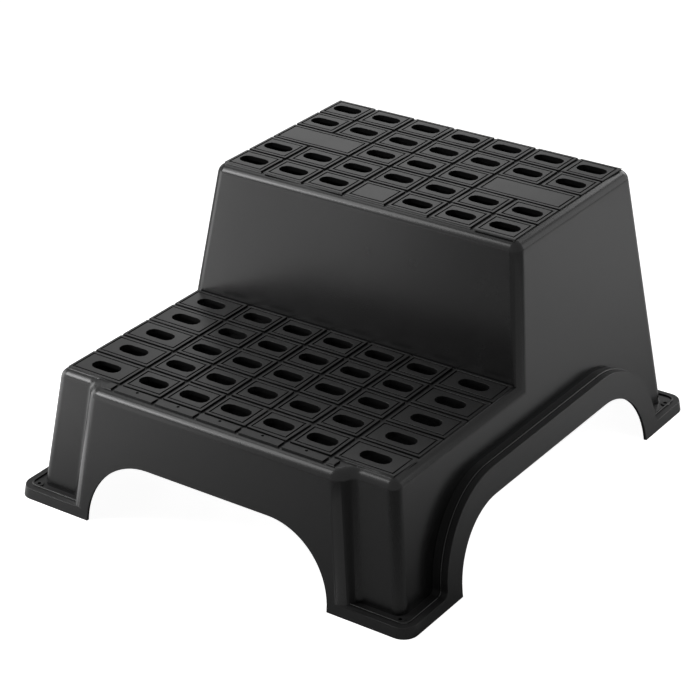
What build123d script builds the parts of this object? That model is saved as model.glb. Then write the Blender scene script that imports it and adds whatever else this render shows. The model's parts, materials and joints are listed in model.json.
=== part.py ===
from build123d import *
import os
from typing import NamedTuple
from math import cos, radians, sin, sqrt, tan

# Double entry step for a caravan: one hollow plastic moulding, open underneath.
# Millimetres, +Z up, front towards -Y, origin on the ground under the middle of the foot flange.
# The walls lean inwards as they rise, so that the steps nest in each other.

# Overall sizes
BASE_WIDTH = 593.0             # over the foot flange, at the ground
BASE_DEPTH = 668.0             # over the foot flange, at the ground
UPPER_TREAD_HEIGHT = 350.0     # ground to the tile tops
LOWER_TREAD_HEIGHT = 176.0     # ground to the tile tops
LOWER_TREAD_DEPTH = 269.0      # leg front to riser, at the lower tread's tile tops

# Walls
WALL = 4.0                     # every wall and both tread plates
SIDE_DRAFT = 7.9               # degrees from upright
FRONT_DRAFT = 8.0
RISER_DRAFT = 8.8
REAR_DRAFT = 5.4
EDGE_RADIUS = 14.0             # outer rounding of the walls and treads
REAR_CORNER_RADIUS = 17.0      # where the side walls turn into the rear wall

# Apron between the front legs, flush with the flange's front
APRON_WIDTH = 367.0            # at the lower tread's tile tops
APRON_END_DRAFT = 10.0         # degrees from upright
APRON_END_SPLAY = 27.0         # degrees from straight back, seen from above
APRON_CORNER_RADIUS = 20.0     # where its front turns into its ends
APRON_ROOT_RADIUS = 12.0       # where its ends run into the legs

# Foot flange, and the band that it becomes over the side arches
FLANGE_REACH = 19.0            # from the leg fronts and the rear wall to the flange's outer face
FLANGE_SIDE_REACH = 21.0       # from the side walls to it
FLANGE_HEIGHT = 14.0
FLANGE_CORNER_RADIUS = 20.0
BAND_WIDTH = 30.0              # beside the side arches
BAND_RISE = 35.4               # above them
BAND_FOOT_RADIUS = 8.0         # inner corner where the band runs into the flange

# Bead along the top of the flange and the bands
BEAD_INSET = 8.2               # behind their outer face
BEAD_WIDTH = 2.5
BEAD_HEIGHT = 1.8

# Arches, the same at the front and rear and the same on both sides
ARCH_RADIUS = 91.0
FRONT_ARCH_HEIGHT = 93.0
FRONT_ARCH_WIDTH = 364.0
SIDE_ARCH_HEIGHT = 90.7
SIDE_ARCH_WIDTH = 443.0
SIDE_ARCH_OFFSET = 3.0         # middle of the side arches behind the middle of the base

# Fixing holes in the flange, each in a low round boss
FIXING_HOLE_DIAMETER = 5.0
FIXING_BOSS_DIAMETER = 12.0
FIXING_BOSS_HEIGHT = 1.5
FRONT_FIXING_INSET = 22.5      # hole to the flange's side face, at the ground
FRONT_FIXING_SETBACK = 17.0    # hole to the flange's front face, at the ground
REAR_FIXING_INSET = 15.5       # hole to the flange's side face, at the ground
REAR_FIXING_SETBACK = 31.0     # hole to the flange's rear face, at the ground

# Tiles on the treads, seven columns by five rows
COLUMNS = 7
ROWS = 5
TILE_HEIGHT = 2.5
COLUMN_GAP = 5.0
ROW_GAP = 4.2
SIDE_MARGIN = 9.3              # tiles to the treads' side edges, before rounding
LEG_MARGIN = 9.8               # front row to the lower tread's front edge
RISER_FOOT_MARGIN = 2.3        # last row of the lower tread to the riser
RISER_TOP_MARGIN = 8.2         # front row to the upper tread's front edge
REAR_MARGIN = 11.7             # last row to the upper tread's rear edge
RIM_WIDTH = 3.5
GROOVE_WIDTH = 2.0
GROOVE_DEPTH = 1.5
SLOT_END_LAND = 2.5            # groove to slot, along the slot
SLOT_SIDE_LAND = 8.6           # groove to slot, across the slot
SLOT_END_FACETS = 5            # flats that round each end of a slot

# Half tiles on the apron's top
APRON_TILE_DEPTH = 12.5
APRON_TILE_MARGIN = 12.5       # last half tile to the apron's front corner

# Ribs under the treads, below the gaps between the tiles
RIB_THICKNESS = 3.0
RIB_DEPTH = 22.0


class Panel(NamedTuple):
    """Bare plate in place of some tiles of a row. Columns count from the left, rows from the front."""

    first_column: int
    last_column: int
    row: int


UPPER_PANELS = (
    Panel(first_column=0, last_column=1, row=2),
    Panel(first_column=5, last_column=6, row=2),
    Panel(first_column=3, last_column=3, row=0),
)

# Sizes that follow from those above
UPPER_PLATE = UPPER_TREAD_HEIGHT - TILE_HEIGHT
LOWER_PLATE = LOWER_TREAD_HEIGHT - TILE_HEIGHT
SIDE_FOOT = BASE_WIDTH / 2 - FLANGE_SIDE_REACH
LEG_FOOT = -BASE_DEPTH / 2 + FLANGE_REACH
REAR_FOOT = BASE_DEPTH / 2 - FLANGE_REACH
SIDE_LEAN = tan(radians(SIDE_DRAFT))
FRONT_LEAN = tan(radians(FRONT_DRAFT))
RISER_LEAN = tan(radians(RISER_DRAFT))
REAR_LEAN = tan(radians(REAR_DRAFT))
RISER_FOOT = LEG_FOOT + LOWER_TREAD_DEPTH + LOWER_TREAD_HEIGHT * (FRONT_LEAN - RISER_LEAN)
APRON_END_LEAN = tan(radians(APRON_END_DRAFT)) / cos(radians(APRON_END_SPLAY))
APRON_FOOT = APRON_WIDTH / 2 + LOWER_TREAD_HEIGHT * (
    APRON_END_LEAN - FRONT_LEAN * tan(radians(APRON_END_SPLAY))
)
BAND_TOP = SIDE_ARCH_HEIGHT + BAND_RISE
BOSS_TOP = FLANGE_HEIGHT + FIXING_BOSS_HEIGHT
REACH = BASE_WIDTH + BASE_DEPTH + UPPER_TREAD_HEIGHT
ON_FLOOR = (Align.CENTER, Align.CENTER, Align.MIN)


def wall_plane(x, y, heading, draft, inset):
    """Face of a leaning wall that stands at x, y on the ground, moved into the wall by inset.

    heading is the direction that the wall faces, in degrees from +X, seen from above.
    """
    outward = Vector(
        cos(radians(heading)) * cos(radians(draft)),
        sin(radians(heading)) * cos(radians(draft)),
        sin(radians(draft)),
    )
    return Plane(origin=Vector(x, y, 0) - outward * inset, z_dir=outward)


def block(planes, floor, top):
    """Solid between two heights that lies behind every one of the planes."""
    solid = Pos(0, 0, floor) * Box(2 * REACH, 2 * REACH, top - floor, align=ON_FLOOR)
    for plane in planes:
        solid -= plane * Box(4 * REACH, 4 * REACH, 4 * REACH, align=ON_FLOOR)
    return solid


def upright(solid):
    """Edges that rise from the ground, more or less."""
    return [e for e in solid.edges() if abs(e.tangent_at(0.5).Z) > 0.5]


def rear_corners(solid):
    """Upright edges between the side walls and the rear wall."""
    return [e for e in upright(solid) if e.center().Y > (RISER_FOOT + REAR_FOOT) / 2]


def rounded(solid):
    """Rounds the outside: the apron's and the rear corners first, then every other edge above the ground."""
    room = FLANGE_REACH / cos(radians(APRON_END_SPLAY)) / tan(radians(45 - APRON_END_SPLAY / 2))
    noses = [e for e in upright(solid) if e.center().Y < LEG_FOOT]
    solid = fillet(noses, min(APRON_CORNER_RADIUS, 0.6 * room))
    roots = [e for e in upright(solid) if e.is_interior]
    solid = fillet(roots, min(APRON_ROOT_RADIUS, 0.36 * room))
    solid = fillet(rear_corners(solid), REAR_CORNER_RADIUS)
    smooth = rear_corners(solid)
    posts = [e for e in upright(solid) if abs(e.center().X) > APRON_FOOT + FLANGE_REACH and e not in smooth]
    rims = [
        e
        for e in solid.edges()
        if e.center().Z > LOWER_PLATE / 2 and abs(e.tangent_at(0.5).Z) < 0.5 and not e.is_interior
    ]
    return fillet(posts + rims, EDGE_RADIUS)


def corner_cut(radius, inset):
    """Chamfer that keeps a wall at its thickness behind a rounding of the given radius."""
    return max((2 - sqrt(2)) * (radius - inset), 1.0)


def body(inset, floor):
    """Both steps and the apron, with every wall and tread moved in by inset.

    The outside is rounded. Inside it, chamfers keep the corners of the walls at their thickness.
    """
    sides = [
        wall_plane(SIDE_FOOT, 0, 0, SIDE_DRAFT, inset),
        wall_plane(-SIDE_FOOT, 0, 180, SIDE_DRAFT, inset),
    ]
    rear = wall_plane(0, REAR_FOOT, 90, REAR_DRAFT, inset)
    leg = wall_plane(0, LEG_FOOT, -90, FRONT_DRAFT, inset)
    riser = wall_plane(0, RISER_FOOT, -90, RISER_DRAFT, inset)
    apron_front = wall_plane(0, LEG_FOOT - FLANGE_REACH, -90, FRONT_DRAFT, inset)
    apron_ends = [
        wall_plane(APRON_FOOT, LEG_FOOT - FLANGE_REACH, -APRON_END_SPLAY, APRON_END_DRAFT, inset),
        wall_plane(-APRON_FOOT, LEG_FOOT - FLANGE_REACH, 180 + APRON_END_SPLAY, APRON_END_DRAFT, inset),
    ]
    upper = block([*sides, rear, riser], floor, UPPER_PLATE - inset)
    lower = block([*sides, rear, leg], floor, LOWER_PLATE - inset)
    apron = block([*sides, rear, apron_front, *apron_ends], floor, LOWER_PLATE - inset)
    solid = upper + lower + apron
    if inset == 0:
        return rounded(solid)
    solid = chamfer(rear_corners(solid), corner_cut(REAR_CORNER_RADIUS, inset))
    cut = rear_corners(solid)
    corners = [e for e in solid.edges() if e.center().Z > floor + 1e-3 and not e.is_interior and e not in cut]
    return chamfer(corners, corner_cut(EDGE_RADIUS, inset))


def arch(width, height, beside):
    """Arch outline, widened on both sides: a rounded rectangle that reaches far below ground."""
    radius = ARCH_RADIUS + beside
    depth = 2 * (height + radius)
    return Pos(0, height - depth / 2) * RectangleRounded(width + 2 * beside, depth, radius)


def side_arch(beside, above):
    """Opening in the sides, or with its extra widths the outline of the band round it."""
    return Pos(SIDE_ARCH_OFFSET, 0) * arch(SIDE_ARCH_WIDTH, SIDE_ARCH_HEIGHT + above, beside)


def through(plane, outline):
    """Outline pushed through the whole step, square to its plane."""
    return extrude(plane * outline, amount=REACH, both=True)


def flange(inset, drop, floor):
    """Foot flange with the bands over the side arches. It fills the inside.

    Its walls are moved in by inset, and its upper faces are lowered by drop.
    """
    side = SIDE_FOOT + FLANGE_SIDE_REACH
    skirt = block(
        [
            wall_plane(side, 0, 0, SIDE_DRAFT, inset),
            wall_plane(-side, 0, 180, SIDE_DRAFT, inset),
            wall_plane(0, LEG_FOOT - FLANGE_REACH, -90, FRONT_DRAFT, inset),
            wall_plane(0, REAR_FOOT + FLANGE_REACH, 90, REAR_DRAFT, inset),
        ],
        floor,
        BAND_TOP + 2 * WALL,
    )
    corners = [e for e in skirt.edges() if abs(e.tangent_at(0.5).Z) > 0.5]
    skirt = fillet(corners, max(FLANGE_CORNER_RADIUS - inset, FLANGE_CORNER_RADIUS / 4))
    strip = Rectangle(2 * BASE_DEPTH, 2 * (FLANGE_HEIGHT - drop))
    band = side_arch(BAND_WIDTH - drop, BAND_RISE - drop)
    profile = strip + band
    near = (BASE_DEPTH / 2, FLANGE_HEIGHT - drop + 0.1)
    feet = [v for v in profile.vertices() if abs(v.X) < near[0] and abs(v.Y) < near[1]]
    profile = fillet(feet, BAND_FOOT_RADIUS + drop)
    return skirt & through(Plane.YZ, profile)


def bead():
    """Thin bead that stands on the flange and on the bands, rooted in their thickness."""
    outside = flange(BEAD_INSET, -BEAD_HEIGHT, 0)
    inside = flange(BEAD_INSET + BEAD_WIDTH, -2 * BEAD_HEIGHT, -WALL)
    below = flange(-WALL, WALL / 2, -WALL)
    return outside - inside - below - body(WALL / 2, -WALL)


def spans(lines, first, last, gap):
    """Tile spans between gap lines, from a field's first edge to its last."""
    starts = [first, *(line + gap / 2 for line in lines)]
    ends = [*(line - gap / 2 for line in lines), last]
    return list(zip(starts, ends))


def gap_lines(first, last, count, gap):
    """Middles of the gaps between count equal tiles."""
    pitch = (last - first + gap) / count
    return [first - gap / 2 + pitch * i for i in range(1, count)]


def inset_tile(tile, inset):
    """Rectangle of a tile given as (x span, y span), drawn in by inset."""
    (x0, x1), (y0, y1) = tile
    return Pos((x0 + x1) / 2, (y0 + y1) / 2) * Rectangle(x1 - x0 - 2 * inset, y1 - y0 - 2 * inset)


def plates(outlines, bottom, top):
    """Flat pieces between two heights."""
    return [Pos(0, 0, bottom) * extrude(outline, amount=top - bottom) for outline in outlines]


# Tile grids
UPPER_SIDE = SIDE_FOOT - UPPER_PLATE * SIDE_LEAN - SIDE_MARGIN
UPPER_FRONT = RISER_FOOT + UPPER_PLATE * RISER_LEAN + RISER_TOP_MARGIN
UPPER_REAR = REAR_FOOT - UPPER_PLATE * REAR_LEAN - REAR_MARGIN
LOWER_SIDE = SIDE_FOOT - LOWER_PLATE * SIDE_LEAN - SIDE_MARGIN
LOWER_FRONT = LEG_FOOT + LOWER_PLATE * FRONT_LEAN + LEG_MARGIN
LOWER_REAR = RISER_FOOT + LOWER_PLATE * RISER_LEAN - RISER_FOOT_MARGIN
COLUMN_LINES = gap_lines(-UPPER_SIDE, UPPER_SIDE, COLUMNS, COLUMN_GAP)
UPPER_ROW_LINES = gap_lines(UPPER_FRONT, UPPER_REAR, ROWS, ROW_GAP)
LOWER_ROW_LINES = gap_lines(LOWER_FRONT, LOWER_REAR, ROWS, ROW_GAP)


def field(side, front, rear, row_lines, panels):
    """Tiles of one tread as (tile, slotted), with the panels taking the place of the tiles they cover."""
    columns = spans(COLUMN_LINES, -side, side, COLUMN_GAP)
    rows = spans(row_lines, front, rear, ROW_GAP)
    covered = {(c, row) for first, last, row in panels for c in range(first, last + 1)}
    tiles = [
        ((columns[c], rows[r]), True)
        for r in range(ROWS)
        for c in range(COLUMNS)
        if (c, r) not in covered
    ]
    for first, last, row in panels:
        tiles.append((((columns[first][0], columns[last][1]), rows[row]), False))
    return tiles


def slot(tile):
    """Slot outline at the middle of a tile. Every slot has the size that suits a regular tile."""
    (x0, x1), (y0, y1) = tile
    border = RIM_WIDTH + GROOVE_WIDTH
    length = COLUMN_LINES[1] - COLUMN_LINES[0] - COLUMN_GAP - 2 * (border + SLOT_END_LAND)
    radius = (y1 - y0) / 2 - border - SLOT_SIDE_LAND
    turns = [radians(180 * step / SLOT_END_FACETS - 90) for step in range(SLOT_END_FACETS + 1)]
    end = [(length / 2 - radius * (1 - cos(t)), radius * sin(t)) for t in turns]
    outline = Polygon(*end, *[(-x, -y) for x, y in end], align=None)
    return Pos((x0 + x1) / 2, (y0 + y1) / 2) * outline


def tread(moulding, tiles, plate):
    """Raises a tread's tiles, cuts their ring grooves and opens their slots."""
    top = plate + TILE_HEIGHT
    raised = plates([inset_tile(tile, 0) for tile, _ in tiles], plate - WALL / 4, top)
    rings = [
        inset_tile(tile, RIM_WIDTH) - inset_tile(tile, RIM_WIDTH + GROOVE_WIDTH)
        for tile, _ in tiles
    ]
    grooves = plates(rings, top - GROOVE_DEPTH, top + TILE_HEIGHT)
    slots = plates([slot(tile) for tile, slotted in tiles if slotted], plate - 2 * WALL, top + TILE_HEIGHT)
    return moulding + raised - grooves - slots


def ribs(plate, column_ends, row_lines, side):
    """Grid of ribs under a tread plate, to be trimmed by the walls."""
    top = plate - WALL / 2
    height = RIB_DEPTH + WALL / 2
    front, rear = column_ends
    middle = Pos(0, 0, top - height)
    size_y = rear - front
    columns = [
        middle * Pos(x, (front + rear) / 2) * Box(RIB_THICKNESS, size_y, height, align=ON_FLOOR)
        for x in COLUMN_LINES
    ]
    rows = [middle * Pos(0, y) * Box(2 * side, RIB_THICKNESS, height, align=ON_FLOOR) for y in row_lines]
    return columns + rows


def fixings():
    """Middles of the four fixing holes, seen from above."""
    front = -BASE_DEPTH / 2 + FRONT_FIXING_SETBACK
    rear = BASE_DEPTH / 2 - REAR_FIXING_SETBACK
    pairs = ((FRONT_FIXING_INSET, front), (REAR_FIXING_INSET, rear))
    return [(end * (BASE_WIDTH / 2 - inset), y) for inset, y in pairs for end in (-1, 1)]


def shell():
    """Walls, tread plates, flange and bands, hollow from below, with the four arches open."""
    outer = body(0, 0) + flange(0, 0, 0)
    bosses = plates([Pos(x, y) * Circle(FIXING_BOSS_DIAMETER / 2) for x, y in fixings()], WALL, BOSS_TOP)
    hollow = body(WALL, -WALL) + flange(WALL, WALL, -WALL)
    holes = plates([Pos(x, y) * Circle(FIXING_HOLE_DIAMETER / 2) for x, y in fixings()], 0, 2 * BOSS_TOP)
    front_arch = arch(FRONT_ARCH_WIDTH, FRONT_ARCH_HEIGHT, 0)
    arches = [through(Plane.XZ, front_arch), through(Plane.YZ, side_arch(0, 0))]
    return outer + bead() + bosses - hollow - holes - arches


def rib_grid():
    """Ribs under both treads, trimmed half way into the walls."""
    riser = RISER_FOOT + LOWER_PLATE * RISER_LEAN
    behind_riser = riser + RIB_THICKNESS
    lower_rows = [*LOWER_ROW_LINES, (riser + behind_riser) / 2]
    upper = ribs(UPPER_PLATE, (RISER_FOOT, REAR_FOOT), UPPER_ROW_LINES, SIDE_FOOT)
    lower = ribs(LOWER_PLATE, (LEG_FOOT, behind_riser), lower_rows, SIDE_FOOT)
    return (Part() + upper + lower) & body(WALL / 2, -WALL)


def apron_tiles(moulding):
    """Raises the half tiles along the apron's top."""
    end = APRON_WIDTH / 2 - APRON_TILE_MARGIN
    rear = LOWER_FRONT - ROW_GAP
    front = rear - APRON_TILE_DEPTH
    tiles = [(columns, (front, rear)) for columns in spans(COLUMN_LINES, -end, end, COLUMN_GAP)]
    raised = plates([inset_tile(tile, 0) for tile in tiles], LOWER_PLATE - WALL / 4, LOWER_TREAD_HEIGHT)
    return moulding + raised


def build():
    """The whole moulding."""
    upper = field(UPPER_SIDE, UPPER_FRONT, UPPER_REAR, UPPER_ROW_LINES, UPPER_PANELS)
    lower = field(LOWER_SIDE, LOWER_FRONT, LOWER_REAR, LOWER_ROW_LINES, [])
    moulding = shell() + rib_grid()
    moulding = tread(moulding, upper, UPPER_PLATE)
    moulding = tread(moulding, lower, LOWER_PLATE)
    return apron_tiles(moulding)


os.makedirs("parts", exist_ok=True)
export_step(build(), "parts/step_moulding.step")
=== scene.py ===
"""Looks of a moulded caravan step: softened edges, grained black plastic with painted shade in its
recesses and on its ledges, studio light with a painted shadow round the step in the floor's reflections,
and the camera.
"""

import json
import logging
from collections.abc import Callable
from dataclasses import dataclass
from enum import Enum
from math import cos, degrees, radians, sin

import bmesh
import bpy
import numpy as np
from mathutils import Matrix, Vector
from mathutils.bvhtree import BVHTree


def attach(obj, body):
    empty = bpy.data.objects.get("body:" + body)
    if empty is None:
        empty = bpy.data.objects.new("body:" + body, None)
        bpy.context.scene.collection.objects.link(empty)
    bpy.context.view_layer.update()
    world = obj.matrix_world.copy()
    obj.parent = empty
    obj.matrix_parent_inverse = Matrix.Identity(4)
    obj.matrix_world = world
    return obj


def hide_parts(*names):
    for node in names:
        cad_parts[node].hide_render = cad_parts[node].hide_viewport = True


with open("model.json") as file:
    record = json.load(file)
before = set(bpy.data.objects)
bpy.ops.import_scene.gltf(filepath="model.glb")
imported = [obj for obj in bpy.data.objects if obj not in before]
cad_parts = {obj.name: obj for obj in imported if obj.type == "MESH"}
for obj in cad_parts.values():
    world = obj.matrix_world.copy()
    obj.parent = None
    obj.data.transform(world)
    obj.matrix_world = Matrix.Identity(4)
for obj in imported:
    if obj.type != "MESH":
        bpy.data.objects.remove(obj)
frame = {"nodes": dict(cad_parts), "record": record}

LOG = logging.getLogger("caravan_step")
MM = 0.001
PHOTO_PIXELS = 700
SENSOR_MM = 36.0

# Parts of a face's unit normal: Z past which it looks up or down, Z below which it stands, Y of a front.
LOOKS_UP = 0.5
LOOKS_DOWN = -0.5
UPRIGHT = 0.3
LOOKS_FORWARD = -0.7

Colour = tuple[float, float, float, float]
Point = tuple[float, float, float]
Plane = tuple[Vector, float]
SocketValue = float | Colour | bpy.types.NodeSocket


class Zone(Enum):
    """Parts of the moulding that have a finish of their own, by material index. Recesses and ledges get
    darker copies of the plastic as painted shade.
    """

    WALL = 0
    TREAD = 1
    RECESS = 2
    LEDGE = 3


def mount_height(name: str) -> float:
    """Height of one of the record's mounts above the ground.

    Args:
        name: the mount's name in the record.

    Returns:
        Its Z in metres.
    """
    return next(m["pos_m"][2] for m in frame["record"]["mounts"] if m["name"] == name)


def activate(piece: bpy.types.Object) -> None:
    """Makes a piece the only selected and active object.

    Args:
        piece: the object that the next operators act on.
    """
    if bpy.context.mode != "OBJECT":
        bpy.ops.object.mode_set(mode="OBJECT")
    bpy.ops.object.select_all(action="DESELECT")
    piece.select_set(True)
    bpy.context.view_layer.objects.active = piece


def apply_modifier(piece: bpy.types.Object, kind: str, **settings: object) -> None:
    """Adds a modifier to a piece and applies it.

    Args:
        piece: the object to change.
        kind: the modifier's type, such as BOOLEAN.
        **settings: values for the modifier's own fields.
    """
    activate(piece)
    modifier = piece.modifiers.new(kind.lower(), kind)
    for name, value in settings.items():
        setattr(modifier, name, value)
    bpy.ops.object.modifier_apply(modifier=modifier.name)


def line_distance(place: Vector, edge: bmesh.types.BMEdge) -> float:
    """Distance from a point to the line through an edge.

    Args:
        place: the point.
        edge: the edge.

    Returns:
        The distance in metres.
    """
    start, end = (v.co for v in edge.verts)
    along = (end - start).normalized()
    return (place - start).cross(along).length


class ShaderGraph:
    """A node tree that is built by adding nodes and joining their sockets."""

    def __init__(self, tree: bpy.types.NodeTree) -> None:
        """Starts on an empty tree.

        Args:
            tree: the material's or group's node tree.
        """
        self.tree = tree
        tree.nodes.clear()

    def add(self, kind: str, **inputs: SocketValue) -> bpy.types.Node:
        """Adds a node.

        Args:
            kind: the node's type name.
            **inputs: values or output sockets for its inputs, with _ for a space in a name.

        Returns:
            The new node.
        """
        node = self.tree.nodes.new(kind)
        for name, value in inputs.items():
            self.feed(node, name.replace("_", " "), value)
        return node

    def feed(self, node: bpy.types.Node, key: str | int, value: SocketValue) -> None:
        """Sets one input of a node, or joins an output socket to it.

        Args:
            node: the node.
            key: the input's name or number.
            value: a plain value or an output socket.
        """
        socket = node.inputs[key]
        if isinstance(value, bpy.types.NodeSocket):
            self.tree.links.new(value, socket)
        else:
            socket.default_value = value

    def math(self, operation: str, first: SocketValue, second: SocketValue) -> bpy.types.NodeSocket:
        """Adds a Math node.

        Args:
            operation: the node's operation.
            first: a plain value or an output socket.
            second: a plain value or an output socket.

        Returns:
            The node's output.
        """
        node = self.add("ShaderNodeMath")
        node.operation = operation
        self.feed(node, 0, first)
        self.feed(node, 1, second)
        return node.outputs[0]

    def mix(self, share: SocketValue, first: Colour, second: Colour) -> bpy.types.NodeSocket:
        """Adds a Mix node for colours, whose inputs share their names with those for other kinds of value.

        Args:
            share: how much of the second colour shows.
            first: the colour at a share of 0.
            second: the colour at a share of 1.

        Returns:
            The mixed colour.
        """
        factor_input, first_input, second_input, colour_output = 0, 6, 7, 2
        node = self.add("ShaderNodeMix")
        node.data_type = "RGBA"
        self.feed(node, factor_input, share)
        self.feed(node, first_input, first)
        self.feed(node, second_input, second)
        return node.outputs[colour_output]


class GrainGroup:
    """Shader group for a moulded surface: fine grain as a height, and a slow mottle as a mask."""

    NAME = "moulded_grain"

    @classmethod
    def get(cls) -> bpy.types.NodeTree:
        """The group, built at its first use."""
        return bpy.data.node_groups.get(cls.NAME) or cls._build()

    @classmethod
    def _build(cls) -> bpy.types.NodeTree:
        """Builds the group.

        Returns:
            The new node group.
        """
        tree = bpy.data.node_groups.new(cls.NAME, "ShaderNodeTree")
        face = tree.interface
        face.new_socket("Place", in_out="INPUT", socket_type="NodeSocketVector")
        face.new_socket("Grain Scale", in_out="INPUT", socket_type="NodeSocketFloat")
        face.new_socket("Mottle Scale", in_out="INPUT", socket_type="NodeSocketFloat")
        face.new_socket("Height", in_out="OUTPUT", socket_type="NodeSocketFloat")
        face.new_socket("Mottle", in_out="OUTPUT", socket_type="NodeSocketFloat")
        graph = ShaderGraph(tree)
        given = graph.add("NodeGroupInput").outputs
        grain = graph.add("ShaderNodeTexNoise", Scale=given["Grain Scale"], Detail=3.0, Roughness=0.6)
        mottle = graph.add("ShaderNodeTexNoise", Scale=given["Mottle Scale"], Detail=4.0, Roughness=0.55)
        for noise in (grain, mottle):
            graph.feed(noise, "Vector", given["Place"])
        graph.add("NodeGroupOutput", Height=grain.outputs["Fac"], Mottle=mottle.outputs["Fac"])
        return tree


@dataclass(frozen=True)
class MouldedPlastic:
    """Finish of black moulded plastic, whose colour and roughness follow the mottle."""

    name: str
    dark: Colour
    pale: Colour
    smooth: float
    rough: float
    grain_per_metre: float
    grain_depth: float
    grain_strength: float
    mottle_per_metre: float = 30.0
    ior: float = 1.49
    specular: float = 0.5

    def material(self) -> bpy.types.Material:
        """Builds the material.

        Returns:
            The new material.
        """
        material = bpy.data.materials.new(self.name)
        material.use_nodes = True
        graph = ShaderGraph(material.node_tree)
        grain = graph.add("ShaderNodeGroup")
        grain.node_tree = GrainGroup.get()
        graph.feed(grain, "Place", graph.add("ShaderNodeTexCoord").outputs["Object"])
        graph.feed(grain, "Grain Scale", self.grain_per_metre)
        graph.feed(grain, "Mottle Scale", self.mottle_per_metre)
        mottle = grain.outputs["Mottle"]
        roughness = graph.add("ShaderNodeMapRange", Value=mottle, To_Min=self.smooth, To_Max=self.rough)
        bump = graph.add("ShaderNodeBump", Height=grain.outputs["Height"], Distance=self.grain_depth)
        graph.feed(bump, "Strength", self.grain_strength)
        shader = graph.add("ShaderNodeBsdfPrincipled", IOR=self.ior, Specular_IOR_Level=self.specular)
        graph.feed(shader, "Base Color", graph.mix(mottle, self.dark, self.pale))
        graph.feed(shader, "Roughness", roughness.outputs["Result"])
        graph.feed(shader, "Normal", bump.outputs["Normal"])
        graph.add("ShaderNodeOutputMaterial", Surface=shader.outputs["BSDF"])
        return material


FINISHES = {
    Zone.WALL: MouldedPlastic(
        name="satin_wall_plastic",
        dark=(0.012, 0.012, 0.0122, 1.0),
        pale=(0.016, 0.016, 0.0162, 1.0),
        smooth=0.2,
        rough=0.26,
        grain_per_metre=1400.0,
        grain_depth=0.06 * MM,
        grain_strength=0.25,
    ),
    Zone.TREAD: MouldedPlastic(
        name="matt_tread_plastic",
        dark=(0.012, 0.012, 0.0122, 1.0),
        pale=(0.018, 0.018, 0.0182, 1.0),
        smooth=0.34,
        rough=0.42,
        grain_per_metre=1100.0,
        grain_depth=0.1 * MM,
        grain_strength=0.4,
    ),
    # Darker copy of the plastic: painted shade in recesses, slots and the gaps between tiles
    Zone.RECESS: MouldedPlastic(
        name="shaded_dull_recess_plastic",
        dark=(0.004, 0.004, 0.0041, 1.0),
        pale=(0.006, 0.006, 0.0061, 1.0),
        smooth=0.55,
        rough=0.65,
        grain_per_metre=1100.0,
        grain_depth=0.1 * MM,
        grain_strength=0.4,
        specular=0.12,
    ),
    # Darker copy of the plastic: painted shade on the flange and band tops beside the walls
    Zone.LEDGE: MouldedPlastic(
        name="shaded_matt_ledge_plastic",
        dark=(0.01, 0.01, 0.0102, 1.0),
        pale=(0.013, 0.013, 0.0132, 1.0),
        smooth=0.45,
        rough=0.55,
        grain_per_metre=1200.0,
        grain_depth=0.08 * MM,
        grain_strength=0.3,
        specular=0.3,
    ),
}


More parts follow.
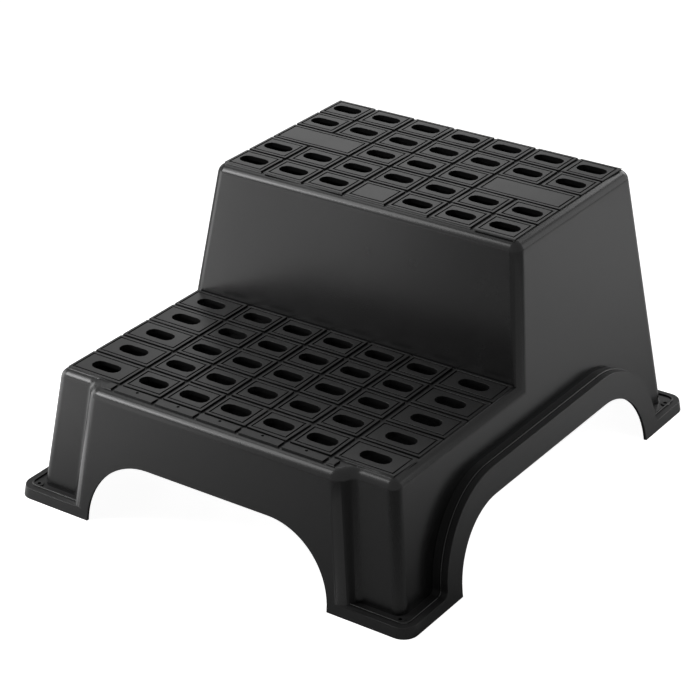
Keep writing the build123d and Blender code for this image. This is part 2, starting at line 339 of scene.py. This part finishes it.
@dataclass
class StepMoulding:
    """The whole step, made from the CAD solid with its edges softened as a mould leaves them."""

    node: str = "step_moulding"
    name: str = "moulded_step"
    slot: str = "moulding"

    # Widths of the softened edges, and the turns past which an edge is sharp or a corner
    tile_edge: float = 0.3 * MM
    rim_edge: float = 0.4 * MM
    bead_edge: float = 0.7 * MM
    sharp_turn: float = radians(30.0)
    corner_turn: float = radians(50.0)

    # Flange and bands: setbacks of the bead and the ledge behind the outermost faces, and their heights
    bead_span: tuple[float, float] = (8.0 * MM, 10.9 * MM)
    ledge_span: tuple[float, float] = (0.3 * MM, 20.5 * MM)
    ledge_turn: float = radians(45.0)
    ledge_top: float = 140.0 * MM
    flange_top: float = 30.0 * MM

    # Rounded lips: the widest strip, the least bend between strips and the turn of two unlike lines
    lip_strip: float = 6.0 * MM
    lip_bend: float = radians(1.5)
    lip_turn: float = radians(1.0)

    # Tiles: their height, and how far below a tile top its top faces and its sides reach, in tile heights
    tile_height: float = 2.5 * MM
    top_reach: float = 1.02
    side_reach: float = 2.5

    # Dimples in the half tiles on the apron
    dimple_radius: float = 1.9 * MM
    dimple_depth: float = 2.0 * MM
    dimple_sides: int = 16
    dimple_line: float = -288.3 * MM
    dimple_pitch: float = 63.0 * MM
    dimple_count: int = 5

    # Small distances and turns that count as none
    merge_gap: float = 0.005 * MM
    flat_turn: float = radians(0.5)
    level: float = 0.01 * MM
    ray_start: float = 0.05 * MM
    slack: float = 0.1 * MM
    touch: float = 0.2 * MM

    def __post_init__(self) -> None:
        """Reads the tread heights from the record. The outermost planes are found while building."""
        self.tread_heights = (mount_height("upper_tread"), mount_height("lower_tread"))
        self.skirt: list[Plane] = []

    def build(self) -> bpy.types.Object:
        """Copies the CAD mesh, joins its triangles into faces and softens the edges.

        Returns:
            The new piece.
        """
        piece = bpy.data.objects.new(self.name, frame["nodes"][self.node].data.copy())
        bpy.context.scene.collection.objects.link(piece)
        activate(piece)
        bpy.ops.object.mode_set(mode="EDIT")
        bpy.ops.mesh.select_mode(type="EDGE")
        bpy.ops.mesh.select_all(action="SELECT")
        bpy.ops.mesh.remove_doubles(threshold=self.merge_gap)
        bpy.ops.mesh.dissolve_limited(angle_limit=self.flat_turn)
        self._dimple(piece)
        activate(piece)
        bpy.ops.object.mode_set(mode="EDIT")
        self._soften(piece, self._tile_edges, self.tile_edge, segments=2)
        self.skirt = self._skirt_planes(bmesh.from_edit_mesh(piece.data))
        self._soften(piece, self._rim_edges, self.rim_edge, segments=2)
        self._soften(piece, self._bead_edges, self.bead_edge, segments=3)
        bpy.ops.object.mode_set(mode="OBJECT")
        self._trim(piece)
        bpy.ops.object.shade_smooth_by_angle(angle=self.sharp_turn)
        apply_modifier(piece, "WEIGHTED_NORMAL", keep_sharp=True)
        self._even_lips(piece)
        return piece

    def _dimple(self, piece: bpy.types.Object) -> None:
        """Sinks a small round dimple into the top of each half tile on the apron.

        Args:
            piece: the step.
        """
        bpy.ops.object.mode_set(mode="OBJECT")
        pins = []
        for place in range(self.dimple_count):
            across = (place - (self.dimple_count - 1) / 2) * self.dimple_pitch
            bpy.ops.object.select_all(action="DESELECT")
            bpy.ops.mesh.primitive_cylinder_add(
                vertices=self.dimple_sides,
                radius=self.dimple_radius,
                depth=2 * self.dimple_depth,
                location=(across, self.dimple_line, self.tread_heights[1]),
            )
            pins.append(bpy.context.object)
        bpy.ops.object.select_all(action="DESELECT")
        for pin in pins:
            pin.select_set(True)
        bpy.context.view_layer.objects.active = pins[0]
        bpy.ops.object.join()
        cutter = bpy.context.object
        apply_modifier(piece, "BOOLEAN", operation="DIFFERENCE", solver="EXACT", object=cutter)
        bpy.data.objects.remove(cutter)

    def _soften(
        self,
        piece: bpy.types.Object,
        pick: Callable[[bmesh.types.BMesh], list[bmesh.types.BMEdge]],
        width: float,
        segments: int,
    ) -> None:
        """Bevels some edges of a piece that is in edit mode.

        Args:
            piece: the object in edit mode.
            pick: gives the edges of a mesh that are bevelled.
            width: bevel width in metres.
            segments: faces across the bevel.
        """
        bpy.ops.mesh.select_all(action="DESELECT")
        mesh = bmesh.from_edit_mesh(piece.data)
        picked = pick(mesh)
        for edge in picked:
            edge.select = True
        mesh.select_flush(True)
        bmesh.update_edit_mesh(piece.data)
        bpy.ops.mesh.bevel(
            offset=width, segments=segments, profile=0.5, affect="EDGES", clamp_overlap=False
        )
        LOG.info("softened %d edges by %.2f mm", len(picked), width / MM)

    def _tile_edges(self, mesh: bmesh.types.BMesh) -> list[bmesh.types.BMEdge]:
        """Outer edges at the top of the tiles.

        Args:
            mesh: the piece's mesh.

        Returns:
            The edges of rims, pads and slots.
        """
        return [
            e
            for e in mesh.edges
            if e.calc_face_angle_signed(0.0) > self.sharp_turn
            and any(all(abs(v.co.z - h) < self.level for v in e.verts) for h in self.tread_heights)
        ]

    def _skirt_planes(self, mesh: bmesh.types.BMesh) -> list[Plane]:
        """Planes of the outermost faces, which are those of the flange and the bands.

        Args:
            mesh: the piece's mesh.

        Returns:
            Each plane's outward normal and its distance from the origin.
        """
        points = np.array([v.co for v in mesh.verts])
        planes = []
        for face in mesh.faces:
            middle = face.calc_center_median()
            reach = face.normal.dot(middle)
            low_wall = abs(face.normal.z) < UPRIGHT and middle.z < self.ledge_top
            if low_wall and (points @ np.array(face.normal)).max() < reach + self.touch:
                planes.append((face.normal.copy(), reach))
        return planes

    def _behind(self, place: Vector) -> tuple[float, Vector]:
        """How far a point lies behind the nearest outermost plane, and that plane's normal."""
        setbacks = ((reach - normal.dot(place), normal) for normal, reach in self.skirt)
        return min(setbacks, key=lambda pair: pair[0])

    def _rim_edges(self, mesh: bmesh.types.BMesh) -> list[bmesh.types.BMEdge]:
        """Edges round the outermost faces, but not at the ground.

        Args:
            mesh: the piece's mesh.

        Returns:
            The outer edges of the flange, the bands and the arches.
        """
        skirt = {
            f
            for f in mesh.faces
            if abs(f.normal.z) < UPRIGHT and all(self._behind(v.co)[0] < self.touch for v in f.verts)
        }
        return [
            e
            for e in mesh.edges
            if sum(f in skirt for f in e.link_faces) == 1
            and e.calc_face_angle_signed(0.0) > self.corner_turn
            and max(v.co.z for v in e.verts) > self.slack
        ]

    def _bead_edges(self, mesh: bmesh.types.BMesh) -> list[bmesh.types.BMEdge]:
        """Upper edges of the bead on the flange and the bands.

        Args:
            mesh: the piece's mesh.

        Returns:
            The edges that stand out along the bead.
        """
        near, far = self.bead_span
        return [
            e
            for e in mesh.edges
            if e.calc_face_angle_signed(0.0) > self.corner_turn
            and all(v.co.z < self.ledge_top and near < self._behind(v.co)[0] < far for v in e.verts)
        ]

    def _trim(self, piece: bpy.types.Object) -> None:
        """Holds the softened edges below the tile tops of the upper tread.

        Args:
            piece: the step.
        """
        for vertex in piece.data.vertices:
            vertex.co.z = min(vertex.co.z, self.tread_heights[0])

    def _even_lips(self, piece: bpy.types.Object) -> None:
        """Turns the normals where a tile's side cuts across a rounded lip, so that the lip shades evenly.

        Args:
            piece: the piece with its weighted normals.
        """
        normals = [Vector(corner.vector) for corner in piece.data.corner_normals]
        mesh = bmesh.new()
        mesh.from_mesh(piece.data)
        for face, polygon in zip(mesh.faces, piece.data.polygons):
            corner = dict(zip(face.verts, polygon.loop_indices))
            turns = {
                e: sum((normals[corner[v]] for v in e.verts), Vector()).normalized()
                for e in face.edges
                if e.smooth and self.lip_bend < e.calc_face_angle(0.0) < self.sharp_turn
            }
            for vertex in set(face.verts) - {v for e in turns for v in e.verts}:
                normal = self._lip_normal(vertex.co, turns)
                if normal is not None:
                    normals[corner[vertex]] = normal
        mesh.free()
        piece.data.normals_split_custom_set(normals)

    def _lip_normal(self, place: Vector, turns: dict[bmesh.types.BMEdge, Vector]) -> Vector | None:
        """Normal at a point between the two lines that bound a strip of a lip.

        Args:
            place: a corner of the strip that is on neither line.
            turns: the normal along each line where the strip bends into the next one.

        Returns:
            The normal, or None where the face isn't a strip of a lip.
        """
        lines = ((line_distance(place, e), turn) for e, turn in turns.items())
        ranked = sorted(lines, key=lambda pair: pair[0])
        if not ranked:
            return None
        near, turn = ranked[0]
        far, other_turn = next((r for r in ranked if r[1].angle(turn) > self.lip_turn), (0.0, None))
        if other_turn is None or not 0.0 < near + far < self.lip_strip:
            return None
        return turn.lerp(other_turn, near / (near + far)).normalized()

    def dress(self, piece: bpy.types.Object) -> None:
        """Gives each zone of the step its finish; those of the recesses and ledges are darker, as painted
        shade.

        Args:
            piece: the finished mesh.
        """
        piece.data.materials.clear()
        for zone in Zone:
            piece.data.materials.append(FINISHES[zone].material())
        tree = BVHTree.FromObject(piece, bpy.context.evaluated_depsgraph_get())
        for face in piece.data.polygons:
            face.material_index = self._zone(piece, face, tree).value

    def _zone(self, piece: bpy.types.Object, face: bpy.types.MeshPolygon, tree: BVHTree) -> Zone:
        """Zone of a face. Recesses, which get a darker plastic as painted shade, are what looks at another
        part of the step or at the ground, and the sides of tiles that don't face forward into the open.

        Args:
            piece: the finished mesh.
            face: one of its faces.
            tree: the mesh as a search tree.

        Returns:
            The zone that the face belongs to.
        """
        heights = [piece.data.vertices[i].co.z for i in face.vertices]
        start = face.center + face.normal * self.ray_start
        # Faces that look down or at another part of the step get the recess plastic, darker as painted
        # shade
        shut_in = face.normal.z < LOOKS_DOWN or tree.ray_cast(start, face.normal)[0] is not None
        open_front = face.normal.y < LOOKS_FORWARD and not shut_in
        for top in self.tread_heights:
            depth = top - min(heights)
            if max(heights) > top + self.slack or depth > self.side_reach * self.tile_height:
                continue
            # Tile sides that don't face forward into the open get the recess plastic's painted shade
            if face.normal.z < LOOKS_UP:
                return Zone.TREAD if open_front else Zone.RECESS
            if depth < self.top_reach * self.tile_height:
                return Zone.TREAD
        # Ledge faces get the ledge plastic, darker as painted shade
        if self._on_ledge(face):
            return Zone.LEDGE
        return Zone.RECESS if shut_in else Zone.WALL

    def _on_ledge(self, face: bpy.types.MeshPolygon) -> bool:
        """Tells whether a face is on top of the flange or a band, or beside the bead, where the plastic is
        painted darker as shade.

        The bead itself is on a ledge only at the ends of the apron.

        Args:
            face: a face of the finished mesh.

        Returns:
            True on a ledge.
        """
        setback, outward = self._behind(face.center)
        low, high = self.ledge_span
        if face.center.z > self.ledge_top or not low < setback < high or face.normal.z < LOOKS_DOWN:
            return False
        if self.bead_span[0] < setback < self.bead_span[1]:
            return abs(outward.y) > cos(self.ledge_turn) and face.center.z > self.flange_top
        return face.normal.dot(outward) < cos(self.ledge_turn)

    def join_frame(self, piece: bpy.types.Object) -> None:
        """Lets the piece stand for the CAD node.

        Args:
            piece: the finished mesh.
        """
        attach(piece, "root")
        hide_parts(self.node)


@dataclass(frozen=True)
class Lamp:
    """A square soft light that points at the step, or at the floor beside it where it isn't mirrored."""

    name: str
    place: Point
    size: float
    watts: float
    target: Point = (0.0, 0.0, 0.18)
    mirrored: bool = True

    def build(self) -> bpy.types.Object:
        """Adds the light.

        Returns:
            The new light object.
        """
        data = bpy.data.lights.new(self.name, "AREA")
        data.shape = "SQUARE"
        data.size = self.size
        data.energy = self.watts
        lamp = bpy.data.objects.new(self.name, data)
        lamp.visible_glossy = self.mirrored
        aim = Vector(self.target) - Vector(self.place)
        turn = aim.to_track_quat("-Z", "Y").to_matrix()
        lamp.matrix_world = Matrix.Translation(self.place) @ turn.to_4x4()
        bpy.context.scene.collection.objects.link(lamp)
        return lamp


LAMPS = (
    Lamp("left_low", (-0.85, -1.0, 0.3), 0.6, 1.15),
    Lamp("left_floor", (-0.78, -0.62, 0.3), 0.25, 2.1, target=(-0.6, -0.56, 0.0), mirrored=False),
    Lamp("left_close", (-0.75, -0.35, 0.25), 0.4, 1.1),
    Lamp("left_front", (-1.2, -1.0, 1.2), 0.5, 7.6),
    Lamp("front_high", (-0.9, -0.7, 1.6), 0.7, 5.0),
    Lamp("left_high", (-1.1, 0.3, 1.9), 0.6, 1.4),
    Lamp("rear_left", (-1.3, 1.8, 1.2), 1.0, 2.4),
    Lamp("rear", (0.2, 2.2, 1.2), 1.0, 7.8),
    Lamp("rear_right", (1.3, 1.9, 0.7), 1.2, 3.0),
    Lamp("right_floor", (1.1, 1.2, 0.5), 0.5, 3.0, target=(0.85, 0.95, 0.0), mirrored=False),
    Lamp("right_near", (0.75, 0.8, 0.45), 0.4, 0.9, target=(0.75, 0.8, 0.0), mirrored=False),
    Lamp("right_side", (0.8, 0.2, 0.45), 0.4, 0.75, target=(0.85, 0.2, 0.0), mirrored=False),
    Lamp("right_low", (0.6, 0.35, 0.35), 0.3, 0.4, target=(0.6, 0.35, 0.0), mirrored=False),
)


@dataclass(frozen=True)
class Camera:
    """The photograph's camera."""

    place: Point = (1.5186, -2.1519, 1.5096)
    yaw: float = 0.61946
    pitch: float = 0.47785
    roll: float = -0.01692
    focal_pixels: float = 2331.73

    def build(self) -> bpy.types.Object:
        """Adds the camera and makes it the scene's own.

        Returns:
            The camera object.
        """
        back = Vector((sin(self.yaw) * cos(self.pitch), -cos(self.yaw) * cos(self.pitch), sin(self.pitch)))
        right = Vector((cos(self.yaw), sin(self.yaw), 0.0))
        up = back.cross(right)
        level = Matrix((right, up, back)).transposed()
        turn = level @ Matrix.Rotation(self.roll, 3, "Z")
        data = bpy.data.cameras.new("photo_camera")
        data.sensor_width = SENSOR_MM
        data.lens = self.focal_pixels * SENSOR_MM / PHOTO_PIXELS
        camera = bpy.data.objects.new("photo_camera", data)
        camera.matrix_world = Matrix.Translation(self.place) @ turn.to_4x4()
        bpy.context.scene.collection.objects.link(camera)
        bpy.context.scene.camera = camera
        return camera


@dataclass(frozen=True)
class Studio:
    """Pale floor and plain surroundings, with shares of white for what the camera and the plastic see. The
    floor's share for the plastic is nil near the step, a painted shadow in its reflections.
    """

    floor_size: float = 12.0
    floor_colour: Colour = (0.8, 0.8, 0.8, 1.0)
    floor_glow: float = 0.96                       # to the camera
    # Floor glow in the plastic: nil within the span's start, full past its end, a painted shadow round the
    # step in its reflections
    floor_gloss: float = 0.25                      # to the plastic, past the end of the span
    painted_shadow_span: tuple[float, float] = (1.3, 2.4)   # from the middle of the floor
    sky_glow: float = 1.0                          # to the camera
    sky_gloss: float = 0.5                         # to the plastic
    sky_colour: Colour = (1.0, 1.0, 1.0, 1.0)
    surround: float = 0.01                         # to every other ray

    def build(self) -> None:
        """Adds the floor and the world."""
        self._floor()
        self._world()

    def _seen(self, graph: ShaderGraph, camera: float, gloss: SocketValue) -> bpy.types.NodeSocket:
        """Share of white that a ray of each kind sees.

        Args:
            graph: the tree that the share is for.
            camera: share for camera rays.
            gloss: share for glossy and transmission rays, as a plain value or an output socket.

        Returns:
            A socket with the share, which is 0 for every other ray.
        """
        path = graph.add("ShaderNodeLightPath").outputs
        mirrored = graph.math("MAXIMUM", path["Is Glossy Ray"], path["Is Transmission Ray"])
        dimmed = graph.math("MULTIPLY", mirrored, gloss)
        direct = graph.math("MULTIPLY", path["Is Camera Ray"], camera)
        return graph.math("MAXIMUM", direct, dimmed)

    def _floor(self) -> None:
        """Adds the floor, which is white to the camera and keeps a trace of the shadow."""
        bpy.ops.object.select_all(action="DESELECT")
        bpy.ops.mesh.primitive_plane_add(size=self.floor_size)
        floor = bpy.context.object
        floor.name = "floor"
        floor.data.materials.append(self._pale_floor())

    def _pale_floor(self) -> bpy.types.Material:
        """Builds the floor's material, whose glow in the plastic grows with the distance from the step, as
        a painted shadow round the step in its reflections.

        Returns:
            The new material.
        """
        material = bpy.data.materials.new("pale_floor")
        material.use_nodes = True
        graph = ShaderGraph(material.node_tree)
        # The glow in the plastic fades out towards the step, a painted shadow in its reflections
        distance = graph.add("ShaderNodeVectorMath")
        distance.operation = "LENGTH"
        graph.feed(distance, 0, graph.add("ShaderNodeTexCoord").outputs["Object"])
        painted_shadow_fade = graph.add("ShaderNodeMapRange", Value=distance.outputs["Value"], To_Max=self.floor_gloss)
        graph.feed(painted_shadow_fade, "From Min", self.painted_shadow_span[0])
        graph.feed(painted_shadow_fade, "From Max", self.painted_shadow_span[1])
        share = self._seen(graph, self.floor_glow, painted_shadow_fade.outputs["Result"])
        both = graph.add("ShaderNodeAddShader")
        graph.feed(both, 0, graph.add("ShaderNodeBsdfDiffuse", Color=self.floor_colour).outputs["BSDF"])
        graph.feed(both, 1, graph.add("ShaderNodeEmission", Strength=share).outputs["Emission"])
        graph.add("ShaderNodeOutputMaterial", Surface=both.outputs["Shader"])
        material.cycles.emission_sampling = "NONE"
        return material

    def _world(self) -> None:
        """Sets the world: white to the camera, a weak even light to the step."""
        world = bpy.data.worlds.new("studio")
        bpy.context.scene.world = world
        world.use_nodes = True
        world.cycles.sampling_method = "NONE"
        graph = ShaderGraph(world.node_tree)
        level = graph.math("MAXIMUM", self._seen(graph, self.sky_glow, self.sky_gloss), self.surround)
        glow = graph.add("ShaderNodeBackground", Color=self.sky_colour, Strength=level)
        graph.add("ShaderNodeOutputWorld", Surface=glow.outputs["Background"])


def main() -> None:
    """Builds the step, dresses it and sets up the studio."""
    logging.basicConfig(level=logging.INFO, format="%(name)s: %(message)s")
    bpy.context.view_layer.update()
    step = StepMoulding()
    piece = step.build()
    step.dress(piece)
    step.join_frame(piece)
    LOG.info("%s: %d faces", piece.name, len(piece.data.polygons))
    Studio().build()
    for lamp in LAMPS:
        LOG.info("%s: %.2f W", lamp.build().name, lamp.watts)
    view = Camera()
    camera = view.build()
    LOG.info("%s: lens %.1f mm, pitch %.1f degrees", camera.name, camera.data.lens, degrees(view.pitch))
    bpy.context.scene.view_settings.view_transform = "Standard"


if __name__ == "__main__":
    main()
